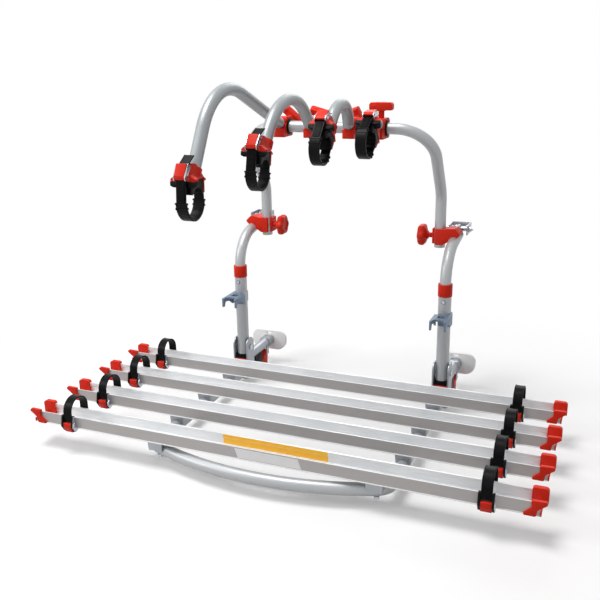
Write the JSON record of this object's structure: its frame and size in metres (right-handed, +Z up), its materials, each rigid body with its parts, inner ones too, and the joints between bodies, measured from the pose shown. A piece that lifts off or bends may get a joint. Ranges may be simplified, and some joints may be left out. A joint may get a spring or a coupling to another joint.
{
  "type": "motorhome bike rack",
  "caption": "Rear wall bicycle rack with a folding platform of channel rails, wheel straps, a hoop and swinging arms with strap grips.",
  "frame": {"origin": "on the rear wall's plane, midway between the slots of the two lower wall pads", "axes": "+Y points into the vehicle's rear wall, +Z up, +X to the right when facing the wall"},
  "size_m": [1.2838, 0.7849, 0.8995],
  "materials": {
    "anodised_aluminium": "satin anodised",
    "rail_aluminium": "satin anodised, extruded",
    "zinc_steel": "zinc plated",
    "stainless": "turned",
    "grey_metal": "blue grey paint",
    "red_plastic": "moulded, semi gloss",
    "black_plastic": "moulded",
    "strap_plastic": "flexible strap",
    "white_plastic": "moulded"
  },
  "bodies": {
    "base": {"wall_pads": "white_plastic", "post_feet": "zinc_steel", "latch_blocks": "black_plastic", "lower_posts": "anodised_aluminium", "post_collars": "red_plastic", "frame_hooks": "grey_metal", "post_fasteners": "stainless"},
    "upper_frame": {"upper_posts": "anodised_aluminium", "upper_brackets": "zinc_steel", "bracket_bolts": "stainless", "leg_clamps": "red_plastic"},
    "hoop": {"hoop": "anodised_aluminium"},
    "platform": {"platform_frame": "anodised_aluminium", "platform_forks": "zinc_steel", "fork_bolts": "stainless", "rail_1": "rail_aluminium", "rail_2": "rail_aluminium", "rail_3": "rail_aluminium", "rail_4": "rail_aluminium", "rail_end_caps": "red_plastic", "rail_saddles": "zinc_steel", "rail_bolts": "stainless", "rail_straps": "strap_plastic", "rail_buckles": "black_plastic"},
    "leg_knob_left": {"leg_knob_left": "red_plastic"},
    "leg_knob_right": {"leg_knob_right": "red_plastic"},
    "release_lever_left": {"release_lever_left": "red_plastic"},
    "release_lever_right": {"release_lever_right": "red_plastic"},
    "rail_1_levers": {"rail_1_levers": "red_plastic"},
    "rail_2_levers": {"rail_2_levers": "red_plastic"},
    "rail_3_levers": {"rail_3_levers": "red_plastic"},
    "rail_4_levers": {"rail_4_levers": "red_plastic"},
    "arm_1_slider": {"arm_1_bush": "black_plastic"},
    "arm_1": {"arm_1_clamp": "red_plastic", "arm_1_tube": "anodised_aluminium", "arm_1_head": "red_plastic", "arm_1_grip": "strap_plastic"},
    "arm_1_knob": {"arm_1_knob": "red_plastic"},
    "arm_1_lever": {"arm_1_lever": "red_plastic"},
    "arm_2_slider": {"arm_2_bush": "black_plastic"},
    "arm_2": {"arm_2_clamp": "red_plastic", "arm_2_tube": "anodised_aluminium", "arm_2_head": "red_plastic", "arm_2_grip": "strap_plastic"},
    "arm_2_knob": {"arm_2_knob": "red_plastic"},
    "arm_2_lever": {"arm_2_lever": "red_plastic"},
    "arm_3_slider": {"arm_3_bush": "black_plastic"},
    "arm_3": {"arm_3_clamp": "red_plastic", "arm_3_tube": "anodised_aluminium", "arm_3_head": "red_plastic", "arm_3_grip": "strap_plastic"},
    "arm_3_knob": {"arm_3_knob": "red_plastic"},
    "arm_3_lever": {"arm_3_lever": "red_plastic"},
    "arm_4_slider": {"arm_4_bush": "black_plastic"},
    "arm_4": {"arm_4_clamp": "red_plastic", "arm_4_tube": "anodised_aluminium", "arm_4_head": "red_plastic", "arm_4_grip": "strap_plastic"},
    "arm_4_knob": {"arm_4_knob": "red_plastic"},
    "arm_4_lever": {"arm_4_lever": "red_plastic"}
  },
  "joints": [
    {"name": "post_height", "type": "slide", "parent": "base", "child": "upper_frame", "axis": [0, 0, 1], "range_m": [0, 0.1]},
    {"name": "hoop_height", "type": "slide", "parent": "upper_frame", "child": "hoop", "axis": [0, 0, 1], "range_m": [-0.05, 0]},
    {"name": "platform_fold", "type": "hinge", "parent": "base", "child": "platform", "pos_m": [0, -0.194, 0.02], "axis": [-1, 0, 0], "range_deg": [0, 90]},
    {"name": "leg_knob_left_turn", "type": "hinge", "parent": "upper_frame", "child": "leg_knob_left", "pos_m": [-0.225, -0.088, 0.378], "axis": [1, 0, 0], "continuous": true},
    {"name": "release_left_turn", "type": "hinge", "parent": "base", "child": "release_lever_left", "pos_m": [-0.3035, -0.056, -0.046], "axis": [1, 0, 0], "range_deg": [0, 40]},
    {"name": "leg_knob_right_turn", "type": "hinge", "parent": "upper_frame", "child": "leg_knob_right", "pos_m": [0.225, -0.088, 0.378], "axis": [1, 0, 0], "continuous": true},
    {"name": "release_right_turn", "type": "hinge", "parent": "base", "child": "release_lever_right", "pos_m": [0.3035, -0.056, -0.046], "axis": [1, 0, 0], "range_deg": [0, 40]},
    {"name": "rail_1_levers_turn", "type": "hinge", "parent": "platform", "child": "rail_1_levers", "pos_m": [0, -0.7565, -0.02], "axis": [-1, 0, 0], "range_deg": [0, 90]},
    {"name": "rail_2_levers_turn", "type": "hinge", "parent": "platform", "child": "rail_2_levers", "pos_m": [0, -0.6088, -0.02], "axis": [-1, 0, 0], "range_deg": [0, 90]},
    {"name": "rail_3_levers_turn", "type": "hinge", "parent": "platform", "child": "rail_3_levers", "pos_m": [0, -0.4611, -0.02], "axis": [-1, 0, 0], "range_deg": [0, 90]},
    {"name": "rail_4_levers_turn", "type": "hinge", "parent": "platform", "child": "rail_4_levers", "pos_m": [0, -0.3134, -0.02], "axis": [-1, 0, 0], "range_deg": [0, 90]},
    {"name": "arm_1_slide", "type": "slide", "parent": "hoop", "child": "arm_1_slider", "axis": [1, 0, 0], "range_m": [0, 0.02]},
    {"name": "arm_1_swing", "type": "hinge", "parent": "arm_1_slider", "child": "arm_1", "pos_m": [-0.144, -0.213, 0.677], "axis": [-1, 0, 0], "range_deg": [-20, 90]},
    {"name": "arm_1_knob_turn", "type": "hinge", "parent": "arm_1", "child": "arm_1_knob", "pos_m": [-0.144, -0.213, 0.677], "axis": [0, 0.8988, 0.4384], "continuous": true},
    {"name": "arm_1_lever_turn", "type": "hinge", "parent": "arm_1", "child": "arm_1_lever", "pos_m": [-0.144, -0.7697, 0.6199], "axis": [1, 0, 0], "range_deg": [0, 80]},
    {"name": "arm_2_slide", "type": "slide", "parent": "hoop", "child": "arm_2_slider", "axis": [1, 0, 0], "range_m": [-0.02, 0.02]},
    {"name": "arm_2_swing", "type": "hinge", "parent": "arm_2_slider", "child": "arm_2", "pos_m": [-0.058, -0.213, 0.677], "axis": [-1, 0, 0], "range_deg": [-20, 90]},
    {"name": "arm_2_knob_turn", "type": "hinge", "parent": "arm_2", "child": "arm_2_knob", "pos_m": [-0.058, -0.213, 0.677], "axis": [0, 0.866, 0.5], "continuous": true},
    {"name": "arm_2_lever_turn", "type": "hinge", "parent": "arm_2", "child": "arm_2_lever", "pos_m": [-0.058, -0.59933, 0.66773], "axis": [1, 0, 0], "range_deg": [0, 80]},
    {"name": "arm_3_slide", "type": "slide", "parent": "hoop", "child": "arm_3_slider", "axis": [1, 0, 0], "range_m": [-0.02, 0.012]},
    {"name": "arm_3_swing", "type": "hinge", "parent": "arm_3_slider", "child": "arm_3", "pos_m": [0.05, -0.213, 0.677], "axis": [-1, 0, 0], "range_deg": [-20, 90]},
    {"name": "arm_3_knob_turn", "type": "hinge", "parent": "arm_3", "child": "arm_3_knob", "pos_m": [0.05, -0.213, 0.677], "axis": [0, 0.9397, 0.342], "continuous": true},
    {"name": "arm_3_lever_turn", "type": "hinge", "parent": "arm_3", "child": "arm_3_lever", "pos_m": [0.05, -0.44935, 0.72006], "axis": [1, 0, 0], "range_deg": [0, 80]},
    {"name": "arm_4_slide", "type": "slide", "parent": "hoop", "child": "arm_4_slider", "axis": [1, 0, 0], "range_m": [-0.012, 0.015]},
    {"name": "arm_4_swing", "type": "hinge", "parent": "arm_4_slider", "child": "arm_4", "pos_m": [0.127, -0.213, 0.677], "axis": [-1, 0, 0], "range_deg": [-20, 90]},
    {"name": "arm_4_knob_turn", "type": "hinge", "parent": "arm_4", "child": "arm_4_knob", "pos_m": [0.127, -0.213, 0.677], "axis": [0, 0, 1], "continuous": true},
    {"name": "arm_4_lever_turn", "type": "hinge", "parent": "arm_4", "child": "arm_4_lever", "pos_m": [0.127, -0.323, 0.71998], "axis": [1, 0, 0], "range_deg": [0, 80]}
  ]
}
